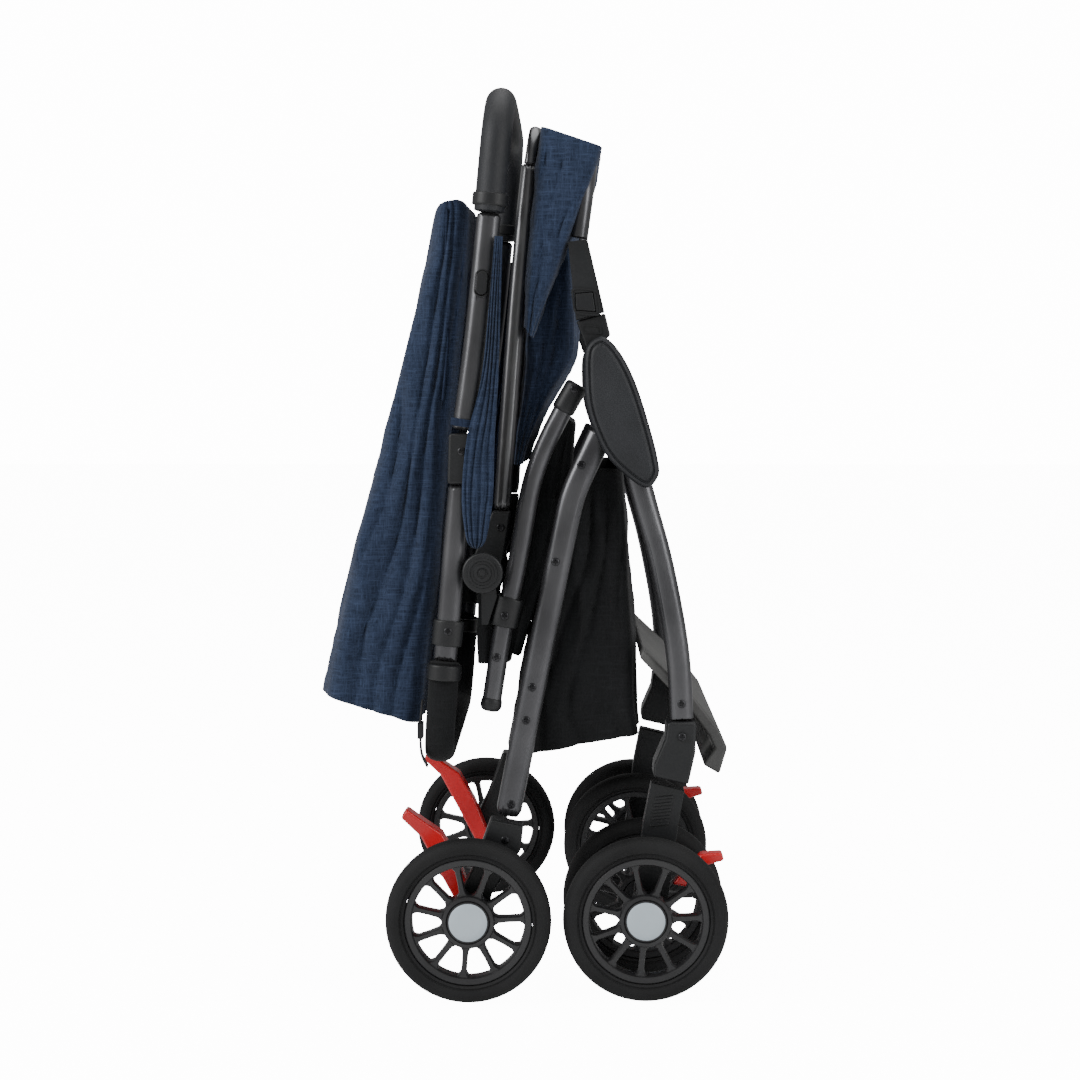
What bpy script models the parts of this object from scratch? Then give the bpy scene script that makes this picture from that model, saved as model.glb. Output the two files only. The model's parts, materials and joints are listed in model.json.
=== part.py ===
"""A baby stroller, folded and standing on its wheels. Metres, +X to its front, +Z up, right side at -Y."""

import math

import bmesh
import bpy
from mathutils import Vector

SIDES = (("right", -1), ("left", 1))
GAP = 0.0003  # between pieces that touch
# what follows is drawn from below the seat; this moves the origin to below the middle of the whole
ORIGIN_SHIFT = Vector((0.0446, 0, -0.000316))
WHEEL_R, TYRE_HALF, RIM_R, RIM_HALF, AXLE_R = 0.083, 0.013, 0.0638, 0.010, 0.006
SPOKES, SPOKE_HALF_ANGLE, HUB_R, SPOKE_END_R = 11, math.radians(3.6), 0.0266, 0.0564
REAR_AXLE, FRONT_AXLE = (-0.101, WHEEL_R), (0.076, WHEEL_R)
REAR_WHEEL_Y, FRONT_OUTER_Y, FRONT_INNER_Y, CASTER_Y = 0.228, 0.2205, 0.1265, 0.1735
LEG_Y, HANDLE_Y, HOOP_Y, CLOTH_Y, HOOD_Y, HOOD_WALL = 0.190, 0.2095, 0.168, 0.155, 0.1802, 0.007
TUBE_DEPTH = 0.009  # half a tube's size across the stroller
FORK_HALF, LEVER_HALF, STUB_OVERHANG = 0.010, 0.009, 0.012
SWIVEL, LOCK_PIVOT = (0.099, 0.209), (0.109, 0.115)
ARM_PIVOT, SEAT_PIVOT, HUB = (0.062, 0.548), (0.0057, 0.6128), (-0.0864, 0.4301)
CANOPY_PIVOT = (-0.118, 0.793)

# centre lines in the XZ plane, from the top down
REAR_LEG = ((0.030, 0.566), (0.015, 0.534), (0.002, 0.503), (-0.011, 0.445), (-0.038, 0.313),
            (-0.0526, 0.233), (-0.0626, 0.1815))
FRONT_LEG = ((0.062, 0.548), (0.0735, 0.501), (0.0907, 0.441), (0.108, 0.3506), (0.1128, 0.2797))
SEAT_TUBE = ((0.0057, 0.6128), (-0.0076, 0.5895), (-0.027, 0.5509), (-0.0399, 0.5121), (-0.0469, 0.4692),
             (-0.0559, 0.4211), (-0.0679, 0.370), (-0.0794, 0.2935))
HANDLE_TUBE = ((-0.0797, 0.7835), (-0.0863, 0.7178), (-0.092, 0.6597), (-0.1050, 0.5705))
SEAT_RAIL = ((-0.1091, 0.5165), (-0.1199, 0.3869), (-0.1245, 0.3415))
HOOP_TUBE = ((-0.0399, 0.835), (-0.0527, 0.7177), (-0.0567, 0.6607), (-0.0688, 0.4895))

# outlines in the XZ plane
ARMREST = ((0.0284, 0.6626), (0.0156, 0.6518), (0.0136, 0.6251), (0.0172, 0.5895), (0.0316, 0.5529),
           (0.0495, 0.531), (0.0744, 0.5141), (0.0873, 0.5261), (0.0862, 0.544), (0.0792, 0.5717),
           (0.0667, 0.6113), (0.0542, 0.639), (0.0403, 0.6577))
WHEEL_HOUSING = ((-0.0795, 0.1805), (-0.0465, 0.1735), (-0.049, 0.150), (-0.078, 0.105), (-0.085, 0.074),
                 (-0.101, 0.066), (-0.116, 0.074), (-0.117, 0.092), (-0.098, 0.130))
CASTER_MOUNT = ((0.0975, 0.2785), (0.0955, 0.2616), (0.0846, 0.2358), (0.0836, 0.2225), (0.119, 0.2145),
                (0.126, 0.2468), (0.127, 0.2785))
CASTER_FORK = ((0.0826, 0.2135), (0.116, 0.2055), (0.1103, 0.1725), (0.100, 0.0935), (0.090, 0.0655),
               (0.076, 0.0615), (0.062, 0.0695), (0.0747, 0.1725))
LOCK_LEVER = ((0.104, 0.109), (0.120, 0.106), (0.138, 0.128), (0.157, 0.1335), (0.155, 0.1415), (0.133,
                                                                                                 0.140))
BRAKE_PEDAL = ((-0.092, 0.078), (-0.108, 0.074), (-0.134, 0.122), (-0.152, 0.157), (-0.172, 0.176),
               (-0.166, 0.185), (-0.148, 0.172), (-0.130, 0.160), (-0.112, 0.128))
FOOTREST = ((0.074, 0.349), (0.1263, 0.2997), (0.1515, 0.2674), (0.1596, 0.2487), (0.1517, 0.2218),
            (0.1345, 0.2318), (0.1465, 0.2487), (0.140, 0.262), (0.1183, 0.2905), (0.070, 0.341))
PLUG = ((-0.0023, 0.7559), (0.0169, 0.7583), (0.0338, 0.6872), (0.0056, 0.6794))
BUTTON, LATCH = (0.0155, 0.6971), (-0.0867, 0.7148)
BUTTON_CORNERS = ((-0.0095, -0.008), (0.0095, -0.0095), (0.0065, 0.0095), (-0.0105, 0.008))
SOCKET = ((0.0062, 0.6784), (0.0345, 0.6862), (0.0400, 0.6640), (0.0284, 0.6560), (0.0156, 0.6518))
HUB_PROFILE = ((0.0195, 0.2262), (0.0203, 0.2240), (0.0203, 0.2192), (0.009, 0.2190), (0.009, 0.1772))
HUB_BRACKET = ((-0.089, 0.4250), (-0.0760, 0.4250), (-0.0730, 0.4040), (-0.0820, 0.3760), (-0.0885, 0.3760))
HOOP_ARM = ((-0.0785, 0.4885), (-0.0595, 0.4885), (-0.0670, 0.4401), (-0.0760, 0.4180), (-0.0864, 0.4150),
            (-0.0990, 0.4200), (-0.0990, 0.4401))
HANDLE_JOINT = ((-0.1198, 0.5675), (-0.0923, 0.5675), (-0.0968, 0.5175), (-0.1213, 0.5175))
CANOPY = ((-0.1315, 0.7942), (-0.1118, 0.800), (-0.1015, 0.787), (-0.1080, 0.700), (-0.1190, 0.600),
          (-0.1270, 0.530), (-0.1350, 0.430), (-0.1430, 0.360), (-0.1530, 0.335), (-0.1530, 0.268),
          (-0.1806, 0.264), (-0.2300, 0.287), (-0.2488, 0.304), (-0.2200, 0.440), (-0.1941, 0.541),
          (-0.1688, 0.641), (-0.1456, 0.730))
CANOPY_POCKET = ((-0.1620, 0.240), (-0.1620, 0.360), (-0.1800, 0.480), (-0.1950, 0.480), (-0.2260, 0.340),
                 (-0.2340, 0.240))
BACKREST = ((-0.0260, 0.866), (-0.0150, 0.8620), (0.0000, 0.855), (0.0000, 0.790), (0.0030, 0.669),
            (-0.0005, 0.638), (-0.0225, 0.600), (-0.0400, 0.561), (-0.0500, 0.531), (-0.0560, 0.531),
            (-0.0470, 0.640), (-0.0420, 0.720), (-0.0290, 0.835))
SEAT_SLING = ((-0.0940, 0.410), (-0.0820, 0.410), (-0.0830, 0.330), (-0.0940, 0.330))
BASKET = ((0.0080, 0.531), (0.0530, 0.531), (0.0580, 0.450), (0.0640, 0.360), (0.0660, 0.300), (0.0700,
                                                                                                0.262),
          (0.0200, 0.230), (-0.0600, 0.230), (-0.0440, 0.330), (-0.0150, 0.440))
BASKET_POCKET = ((0.0120, 0.550), (0.0490, 0.550), (0.0540, 0.450), (0.0600, 0.360), (0.0620, 0.300),
                 (0.0650, 0.266), (0.0200, 0.236), (-0.0540, 0.236), (-0.0400, 0.330), (-0.0110, 0.440))


def material(name, colour, roughness, metallic=0.0):
    made = bpy.data.materials.new(name)
    made.use_nodes = True
    shader = made.node_tree.nodes["Principled BSDF"]
    shader.inputs["Base Color"].default_value = (*colour, 1)
    shader.inputs["Roughness"].default_value = roughness
    shader.inputs["Metallic"].default_value = metallic
    return made


def joint(name, x, y, z):
    """An empty on a joint's axis, which the pieces of a moving body hang from."""
    empty = bpy.data.objects.new(name, None)
    empty.location = Vector((x, y, z)) + ORIGIN_SHIFT
    bpy.context.scene.collection.objects.link(empty)
    return empty


def piece(name, bm, look, body=None, smooth=None):
    """An object from a bmesh in the drawing's coordinates, hung from its body's empty."""
    bmesh.ops.translate(bm, vec=ORIGIN_SHIFT, verts=bm.verts)
    bmesh.ops.recalc_face_normals(bm, faces=bm.faces)
    mesh = bpy.data.meshes.new(name)
    bm.to_mesh(mesh)
    bm.free()
    if look:
        mesh.materials.append(look)
    if smooth:
        mesh.shade_smooth()
        mesh.set_sharp_from_angle(angle=math.radians(smooth))
    made = bpy.data.objects.new(name, mesh)
    bpy.context.scene.collection.objects.link(made)
    if body:
        made.parent = body
        made.location = -body.location
    return made


def cutter(name, bm):
    made = piece(name, bm, None)
    made.hide_render = True
    made.display_type = "WIRE"
    return made


def combine(made, other, operation):
    boolean = made.modifiers.new(other.name, "BOOLEAN")
    boolean.object = other
    boolean.operation = operation
    boolean.solver = "EXACT"


def prism(outline, y_low, y_high):
    """An XZ outline drawn across the stroller from y_low to y_high."""
    bm = bmesh.new()
    face = bm.faces.new([bm.verts.new((x, y_low, z)) for x, z in outline])
    new = bmesh.ops.extrude_face_region(bm, geom=[face])["geom"]
    corners = [v for v in new if isinstance(v, bmesh.types.BMVert)]
    bmesh.ops.translate(bm, vec=(0, y_high - y_low, 0), verts=corners)
    return bm


def rounded(outline, steps=3):
    """A smooth closed line through an outline's points."""
    count = len(outline)
    return [
        spline([outline[(i + k) % count] for k in (-1, 0, 1, 2)], step / steps)
        for i in range(count)
        for step in range(steps)
    ]


def spline(four, t):
    """The point at t between the second and third of four points, on a Catmull-Rom curve."""
    a, b, c, d = (Vector(p) for p in four)
    square, cube = 2 * a - 5 * b + 4 * c - d, 3 * b - a - 3 * c + d
    return 0.5 * (2 * b + (c - a) * t + square * t**2 + cube * t**3)


def smooth_line(points, steps=2):
    """A smooth open line through points."""
    ends = [points[0], *points, points[-1]]
    line = [spline(ends[i : i + 4], step / steps) for i in range(len(points) - 1) for step in range(steps)]
    return [*line, Vector(points[-1])]


def sweep(path, normal, half_in, half_out, sides=12):
    """An oval bar along a flat path: half_in across it in its plane, half_out along the plane's normal."""
    bm = bmesh.new()
    rings = []
    for i, point in enumerate(path):
        tangent = (path[min(i + 1, len(path) - 1)] - path[max(i - 1, 0)]).normalized()
        across = tangent.cross(normal)
        turns = [2 * math.pi * k / sides for k in range(sides)]
        rings.append(
            [bm.verts.new(point + across * half_in * math.cos(t) + normal * half_out * math.sin(t))
             for t in turns]
        )
    for low, high in zip(rings, rings[1:]):
        for k in range(sides):
            bm.faces.new((low[k], low[(k + 1) % sides], high[(k + 1) % sides], high[k]))
    bm.faces.new(rings[0])
    bm.faces.new(rings[-1])
    return bm


def side_tube(points, y, half_in, steps=2):
    path = [Vector((p.x, y, p.y)) for p in smooth_line(points, steps)]
    return sweep(path, Vector((0, 1, 0)), half_in, TUBE_DEPTH)


def bow(foot, top, half_width, corner, half_in, half_out, sides=12, bends=4):
    """A bar up one side, across and down the other, in the plane through foot and top (XZ points)."""
    foot, rise = Vector((foot[0], 0, foot[1])), Vector((top[0] - foot[0], 0, top[1] - foot[1]))
    height, up = rise.length, rise.normalized()
    flat = [(half_width, 0)]
    for k in range(bends + 1):
        turn = 0.5 * math.pi * k / bends
        flat.append((half_width - corner * (1 - math.cos(turn)), height - corner * (1 - math.sin(turn))))
    flat += [(-y, h) for y, h in reversed(flat)]
    path = [foot + Vector((0, y, 0)) + up * h for y, h in flat]
    return sweep(path, up.cross(Vector((0, 1, 0))), half_in, half_out, sides)


def turned(centre, profile, sides=24):
    """A solid turned about an axis along Y: profile is (radius, y) pairs from one end to the other."""
    bm = bmesh.new()
    rings = []
    for radius, y in profile:
        turns = [2 * math.pi * k / sides for k in range(sides)]
        rings.append(
            [bm.verts.new((centre[0] + radius * math.cos(t), y, centre[1] + radius * math.sin(t)))
             for t in turns]
        )
    for low, high in zip(rings, rings[1:]):
        for k in range(sides):
            bm.faces.new((low[k], low[(k + 1) % sides], high[(k + 1) % sides], high[k]))
    bm.faces.new(rings[0])
    bm.faces.new(rings[-1])
    return bm


def tyre(centre, y, sides=36):
    """A ring with a rounded tread."""
    profile = ((0.0645, -0.0105), (0.074, -TYRE_HALF), (WHEEL_R, -0.006), (WHEEL_R, 0.006), (0.074,
                                                                                             TYRE_HALF),
               (0.0645, 0.0105))
    bm = bmesh.new()
    rings = []
    for k in range(sides):
        turn = 2 * math.pi * (k + 0.5) / sides
        rings.append(
            [bm.verts.new((centre[0] + r * math.cos(turn), y + w, centre[1] + r * math.sin(turn)))
             for r, w in profile]
        )
    for k in range(sides):
        here, there = rings[k], rings[(k + 1) % sides]
        for j in range(len(profile)):
            bm.faces.new((here[j], here[j - 1], there[j - 1], there[j]))
    return bm


def rim(centre, y):
    """A hub and an outer ring joined by the spokes, with a bore for the axle."""
    radii = (AXLE_R + GAP, HUB_R, SPOKE_END_R, RIM_R)
    pitch = 2 * math.pi / SPOKES
    turns = [
        pitch * k + offset
        for k in range(SPOKES)
        for offset in (-SPOKE_HALF_ANGLE, SPOKE_HALF_ANGLE, 0.5 * pitch)
    ]
    count = len(turns)
    solid = {(ring, k) for ring in range(3) for k in range(count) if ring != 1 or k % 3 == 0}
    bm = bmesh.new()
    corners = {}

    def corner(ring, k, side):
        key = (ring, k % count, side)
        if key not in corners:
            r, t = radii[ring], turns[k % count]
            corners[key] = bm.verts.new(
                (centre[0] + r * math.cos(t), y + side * RIM_HALF, centre[1] + r * math.sin(t))
            )
        return corners[key]

    for ring, k in solid:
        edge = ((ring, k), (ring + 1, k), (ring + 1, k + 1), (ring, k + 1))
        beyond = ((ring, k - 1), (ring + 1, k), (ring, k + 1), (ring - 1, k))
        for side in (-1, 1):
            bm.faces.new([corner(*e, side) for e in edge])
        for a, b, (next_ring, next_k) in zip(edge, edge[1:] + edge[:1], beyond):
            if (next_ring, next_k % count) not in solid:
                bm.faces.new((corner(*a, -1), corner(*b, -1), corner(*b, 1), corner(*a, 1)))
    return bm


def between(s, near, far):
    """The two Y values of a piece on side s, lowest first."""
    return sorted((s * near, s * far))


def wheel(name, centre, y, looks):
    body = joint(name, centre[0], y, centre[1])
    piece(name + "_tyre", tyre(centre, y), looks["tyre"], body, 40)
    piece(name + "_rim", rim(centre, y), looks["plastic"], body)


def rear_frame(looks):
    for side, s in SIDES:
        piece(f"{side}_rear_leg", side_tube(REAR_LEG, s * LEG_Y, 0.0135), looks["tube"], None, 40)
        shape = prism(WHEEL_HOUSING, *between(s, 0.181, 0.2095))
        housing = piece(f"{side}_rear_housing", shape, looks["plastic"])
        stub = turned(REAR_AXLE, ((AXLE_R, s * 0.205), (AXLE_R, s * 0.2395)), 16)
        combine(housing, cutter(f"{side}_rear_stub", stub), "UNION")
        cover = prism(rounded(ARMREST, 2), *between(s, 0.1993, 0.2193))
        piece(f"{side}_armrest_cover", cover, looks["leather"])
        piece(f"{side}_bumper_socket", prism(SOCKET, *between(s, 0.179, 0.199)), looks["plastic"])
        wheel(f"{side}_rear_wheel", REAR_AXLE, s * REAR_WHEEL_Y, looks)
        pedal_body = joint(f"{side}_brake", REAR_AXLE[0], s * 0.170, REAR_AXLE[1])
        piece(f"{side}_brake_pedal", prism(BRAKE_PEDAL, *between(s, 0.158, 0.1805)), looks["red"], pedal_body)
    cross = turned((-0.053, 0.205), ((0.008, -0.1805), (0.008, 0.1805)), 12)
    piece("rear_crossbar", cross, looks["tube"], None, 40)
    basket = piece("basket", prism(BASKET, -CLOTH_Y, CLOTH_Y), looks["black_cloth"])
    combine(basket, cutter("basket_pocket", prism(BASKET_POCKET, 0.004 - CLOTH_Y, CLOTH_Y - 0.004)),
            "DIFFERENCE")


def front_frame(looks):
    body = joint("front_frame", ARM_PIVOT[0], 0, ARM_PIVOT[1])
    for side, s in SIDES:
        piece(f"{side}_front_leg", side_tube(FRONT_LEG, s * LEG_Y, 0.0125, 3), looks["tube"], body, 40)
        piece(f"{side}_caster_mount", prism(CASTER_MOUNT, *between(s, CASTER_Y - 0.011, 0.203)),
              looks["plastic"], body)
        swivel = joint(f"{side}_caster", SWIVEL[0], s * CASTER_Y, SWIVEL[1])
        shape = prism(CASTER_FORK, *between(s, CASTER_Y - FORK_HALF, CASTER_Y + FORK_HALF))
        fork = piece(f"{side}_caster_fork", shape, looks["plastic"], swivel)
        ends = (s * (FRONT_INNER_Y - STUB_OVERHANG), s * (FRONT_OUTER_Y + STUB_OVERHANG))
        axle = cutter(f"{side}_caster_axle", turned(FRONT_AXLE, ((AXLE_R, ends[0]), (AXLE_R, ends[1])), 16))
        axle.parent = swivel
        axle.location = -swivel.location
        combine(fork, axle, "UNION")
        for place, y in (("outer", FRONT_OUTER_Y), ("inner", FRONT_INNER_Y)):
            wheel(f"{side}_front_{place}_wheel", FRONT_AXLE, s * y, looks)
        lever_body = joint(f"{side}_swivel_lock", LOCK_PIVOT[0], s * CASTER_Y, LOCK_PIVOT[1])
        lever = prism(LOCK_LEVER, *between(s, CASTER_Y - LEVER_HALF, CASTER_Y + LEVER_HALF))
        piece(f"{side}_lock_lever", lever, looks["red"], lever_body)
    piece("footrest", prism(FOOTREST, -0.1805, 0.1805), looks["grey_plastic"], body)


def seat_frame(looks):
    body = joint("seat_frame", SEAT_PIVOT[0], 0, SEAT_PIVOT[1])
    for side, s in SIDES:
        piece(f"{side}_seat_tube", side_tube(SEAT_TUBE, s * LEG_Y, 0.0102), looks["tube"], body, 40)
        profile = [(radius, s * y) for radius, y in HUB_PROFILE]
        disc = piece(f"{side}_recline_hub", turned(HUB, profile), looks["plastic"], body, 40)
        bracket = cutter(f"{side}_hub_bracket", prism(HUB_BRACKET, *between(s, 0.1815, 0.1990)))
        bracket.parent = body
        bracket.location = -body.location
        combine(disc, bracket, "UNION")
    piece("seat_sling", prism(SEAT_SLING, -CLOTH_Y, CLOTH_Y), looks["black_cloth"], body)


def button_hole(tube, name, outline, s, inner, outer):
    """Cuts a button's pocket in a piece, with clearance round it."""
    middle = Vector((sum(p[0] for p in outline) / len(outline), sum(p[1] for p in outline) / len(outline)))
    wide = [middle + (Vector(p) - middle) * 1.06 for p in outline]
    pocket = cutter(name, prism(wide, *between(s, inner, outer)))
    combine(tube, pocket, "DIFFERENCE")


def oblong(centre, half_width, half_height, lean, corners=8):
    """A round-ended outline, leaning by lean radians."""
    points = []
    for k in range(corners):
        turn = 2 * math.pi * (k + 0.5) / corners
        x = half_width * math.cos(turn)
        z = half_width * math.sin(turn) + math.copysign(half_height - half_width, math.sin(turn))
        points.append((centre[0] + x * math.cos(lean) + z * math.sin(lean),
                       centre[1] + z * math.cos(lean) - x * math.sin(lean)))
    return points


def handle(looks):
    body = joint("handle", HUB[0], 0, HUB[1])
    latch = oblong(LATCH, 0.0058, 0.0118, 0.09)
    for side, s in SIDES:
        shape = side_tube(HANDLE_TUBE, s * HANDLE_Y, 0.0125)
        upper = piece(f"{side}_handle_tube", shape, looks["tube"], body, 40)
        button_hole(upper, f"{side}_latch_pocket", latch, s, 0.2110, 0.2300)
        button_body = joint(f"{side}_latch", LATCH[0], s * 0.217, LATCH[1])
        piece(f"{side}_latch_button", prism(latch, *between(s, 0.2150, 0.2205)), looks["plastic"],
              button_body)
        piece(f"{side}_handle_joint", prism(HANDLE_JOINT, *between(s, 0.1995, 0.2195)), looks["plastic"],
              body)
        piece(f"{side}_seat_rail", side_tube(SEAT_RAIL, s * HANDLE_Y, 0.0122), looks["tube"], body, 40)
    grip = bow((-0.0797, 0.7842), (-0.069, 0.8985), HANDLE_Y, 0.055, 0.017, 0.016)
    piece("handle_grip", grip, looks["leather"], body, 40)
    lower = bow((-0.1246, 0.3408), (-0.1320, 0.2410), HANDLE_Y, 0.040, 0.0100, 0.0155)
    piece("lower_bow", lower, looks["padded_cloth"], body, 40)


def backrest(looks):
    body = joint("backrest", HUB[0], 0, HUB[1])
    for side, s in SIDES:
        path = [Vector((p.x, s * HOOP_Y, p.y)) for p in smooth_line(HOOP_TUBE, 1)]
        tube = sweep(path, Vector((0, 1, 0)), 0.0092, 0.0085)
        piece(f"{side}_hoop_tube", tube, looks["tube"], body, 40)
        piece(f"{side}_hoop_arm", prism(HOOP_ARM, *between(s, 0.1600, 0.1765)), looks["plastic"], body)
    top = bow((-0.0398, 0.8357), (-0.0352, 0.8695), HOOP_Y, 0.030, 0.0085, 0.0085, 10)
    piece("hoop_top", top, looks["tube"], body, 40)
    piece("backrest_cloth", prism(BACKREST, -CLOTH_Y, CLOTH_Y), looks["denim"], body)


def bumper(looks):
    body = joint("bumper", 0.0155, 0, 0.690)
    button = [(BUTTON[0] + dx, BUTTON[1] + dz) for dx, dz in BUTTON_CORNERS]
    for side, s in SIDES:
        plug = piece(f"{side}_bumper_plug", prism(PLUG, *between(s, 0.1785, 0.2035)), looks["plastic"], body)
        button_hole(plug, f"{side}_button_pocket", button, s, 0.1950, 0.2100)
        button_body = joint(f"{side}_bumper_release", BUTTON[0], s * 0.202, BUTTON[1])
        piece(f"{side}_bumper_button", prism(button, *between(s, 0.1990, 0.2045)), looks["plastic"],
              button_body)
    bar = bow((0.0080, 0.7605), (0.0180, 0.8350), LEG_Y, 0.040, 0.0095, 0.0095)
    piece("bumper_bar", bar, looks["tube"], body, 40)


def canopy(looks):
    body = joint("canopy", CANOPY_PIVOT[0], 0, CANOPY_PIVOT[1])
    hood = piece("canopy_hood", prism(CANOPY, -HOOD_Y, HOOD_Y), looks["denim"], body)
    pocket = cutter("canopy_pocket", prism(CANOPY_POCKET, HOOD_WALL - HOOD_Y, HOOD_Y - HOOD_WALL))
    pocket.parent = body
    pocket.location = -body.location
    combine(hood, pocket, "DIFFERENCE")


def main():
    for old in list(bpy.data.objects):
        bpy.data.objects.remove(old)
    looks = {
        "tube": material("tube", (0.062, 0.062, 0.068), 0.38, 0.75),
        "plastic": material("plastic", (0.012, 0.013, 0.015), 0.45),
        "leather": material("leather", (0.020, 0.022, 0.026), 0.55),
        "padded_cloth": material("padded_cloth", (0.015, 0.016, 0.018), 0.85),
        "black_cloth": material("black_cloth", (0.010, 0.011, 0.013), 0.80),
        "denim": material("denim", (0.020, 0.040, 0.118), 0.90),
        "tyre": material("tyre", (0.012, 0.012, 0.013), 0.75),
        "red": material("red", (0.52, 0.010, 0.013), 0.35),
        "grey_plastic": material("grey_plastic", (0.17, 0.17, 0.165), 0.60),
    }
    rear_frame(looks)
    front_frame(looks)
    seat_frame(looks)
    handle(looks)
    backrest(looks)
    bumper(looks)
    canopy(looks)


main()
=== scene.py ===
import json
import math

import bmesh
import bpy
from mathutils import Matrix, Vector, noise

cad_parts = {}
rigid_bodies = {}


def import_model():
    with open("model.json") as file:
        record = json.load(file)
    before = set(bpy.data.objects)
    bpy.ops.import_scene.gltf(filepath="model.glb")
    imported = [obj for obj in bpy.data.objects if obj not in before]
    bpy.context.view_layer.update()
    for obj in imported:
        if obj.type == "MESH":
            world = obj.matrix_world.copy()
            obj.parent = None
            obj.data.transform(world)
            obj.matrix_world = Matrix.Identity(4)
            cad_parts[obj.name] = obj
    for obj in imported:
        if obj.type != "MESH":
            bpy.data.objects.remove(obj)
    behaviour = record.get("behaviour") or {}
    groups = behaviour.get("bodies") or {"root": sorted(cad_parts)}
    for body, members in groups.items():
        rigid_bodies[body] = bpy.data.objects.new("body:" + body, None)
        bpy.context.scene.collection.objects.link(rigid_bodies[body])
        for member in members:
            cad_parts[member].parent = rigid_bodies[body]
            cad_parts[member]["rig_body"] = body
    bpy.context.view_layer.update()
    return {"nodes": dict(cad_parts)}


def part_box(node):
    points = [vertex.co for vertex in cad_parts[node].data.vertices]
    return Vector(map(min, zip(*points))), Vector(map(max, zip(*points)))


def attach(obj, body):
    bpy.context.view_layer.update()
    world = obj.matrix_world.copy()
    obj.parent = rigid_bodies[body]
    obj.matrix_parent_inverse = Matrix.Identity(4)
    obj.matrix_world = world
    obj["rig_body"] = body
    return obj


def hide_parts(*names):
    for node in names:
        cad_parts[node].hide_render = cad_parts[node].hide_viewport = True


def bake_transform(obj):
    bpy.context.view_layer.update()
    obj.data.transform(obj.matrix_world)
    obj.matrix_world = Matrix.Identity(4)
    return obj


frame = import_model()
wheelLow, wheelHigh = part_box("right_rear_wheel_tyre")
wheelMid = (wheelLow + wheelHigh) / 2
# the drawing's points are measured at floor level, and its rear axle is at this x and z
rearAxle = (-0.101, 0.083)
origin = Vector((wheelMid.x - rearAxle[0], 0, wheelMid.z - rearAxle[1]))
sides = (("right", -1), ("left", 1))


# small tools for meshes
def at(x, y, z):
    return Vector((x, y, z)) + origin


def makePiece(name, bm, material, body, sharpAngle=40):
    bmesh.ops.recalc_face_normals(bm, faces=bm.faces)
    mesh = bpy.data.meshes.new(name)
    bm.to_mesh(mesh)
    bm.free()
    mesh.materials.append(material)
    mesh.shade_smooth()
    mesh.set_sharp_from_angle(angle=math.radians(sharpAngle))
    piece = bpy.data.objects.new(name, mesh)
    bpy.context.scene.collection.objects.link(piece)
    if body:
        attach(piece, body)
    return piece


def curvePoint(a, b, c, d, t):
    # a Catmull-Rom curve between b and c
    a, b, c, d = Vector(a), Vector(b), Vector(c), Vector(d)
    return 0.5 * (2 * b + (c - a) * t + (2 * a - 5 * b + 4 * c - d) * t * t + (3 * b - a - 3 * c + d) * t**3)


def smoothLine(points, steps=8, closed=False):
    count = len(points)
    if closed:
        ring = [[points[(i + k) % count] for k in (-1, 0, 1, 2)] for i in range(count)]
        return [curvePoint(*four, step / steps) for four in ring for step in range(steps)]
    ends = [points[0], *points, points[-1]]
    line = [curvePoint(*ends[i:i + 4], step / steps) for i in range(count - 1) for step in range(steps)]
    return [*line, Vector(points[-1])]


def alongLine(points, share):
    # the point at a share, 0 to 1, of a line's length
    lengths = [(b - a).length for a, b in zip(points, points[1:])]
    want = share * sum(lengths)
    for a, b, length in zip(points, points[1:], lengths):
        if want <= length:
            return a.lerp(b, want / max(length, 1e-9))
        want -= length
    return points[-1].copy()


def ringsToMesh(bm, rings, capStart=True, capEnd=True):
    made = [[bm.verts.new(p) for p in ring] for ring in rings]
    count = len(made[0])
    for low, high in zip(made, made[1:]):
        for k in range(count):
            bm.faces.new((low[k], low[(k + 1) % count], high[(k + 1) % count], high[k]))
    if capStart:
        bm.faces.new(made[0])
    if capEnd:
        bm.faces.new(made[-1])
    return made


def ringsToBand(bm, rings):
    # rings joined into a closed band, the last one back to the first
    made = ringsToMesh(bm, rings, False, False)
    count = len(made[0])
    for k in range(count):
        following = (k + 1) % count
        bm.faces.new((made[-1][k], made[-1][following], made[0][following], made[0][k]))


def turnsOf(count):
    return [2 * math.pi * k / count for k in range(count)]


def sweepInto(bm, path, normal, halfIn, halfOut, segments=28, endRound=0.0):
    # an oval bar along a flat path; endRound is how far its ends are softened
    rings = []
    turns = turnsOf(segments)
    last = len(path) - 1
    for i, point in enumerate(path):
        tangent = (path[min(i + 1, last)] - path[max(i - 1, 0)]).normalized()
        across = tangent.cross(normal)
        out = -tangent if endRound and i == 0 else tangent
        sizes = [(0, 1)]
        if endRound and i in (0, last):
            sizes = [(endRound * math.sin(a), 1 - endRound / halfIn * (1 - math.cos(a))) for a in
                     (0, math.pi / 8, math.pi / 4, math.pi * 3 / 8, math.pi / 2)]
            if i == 0:
                sizes.reverse()
        for push, size in sizes:
            middle = point + out * push
            rings.append([middle + (across * halfIn * math.cos(a) + normal * halfOut * math.sin(a)) * size
                          for a in turns])
    ringsToMesh(bm, rings)


def lathe(bm, centre, profile, segments=48):
    # a solid turned about Y: profile is (radius, y), from the middle of its outer face to its edge
    rings = []
    for radius, y in profile:
        rings.append([at(centre[0] + radius * math.cos(a), y, centre[1] + radius * math.sin(a))
                      for a in turnsOf(segments)])
    ringsToMesh(bm, rings)


def turnedRing(bm, centre, y, profile, segments):
    # a ring turned about Y: profile is closed, in (radius, distance from y)
    made = []
    for a in turnsOf(segments):
        made.append([bm.verts.new(at(centre[0] + r * math.cos(a), y + w, centre[1] + r * math.sin(a)))
                     for r, w in profile])
    for i, ring in enumerate(made):
        following = made[(i + 1) % len(made)]
        for j in range(len(ring)):
            bm.faces.new((ring[j], ring[j - 1], following[j - 1], following[j]))


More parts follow.
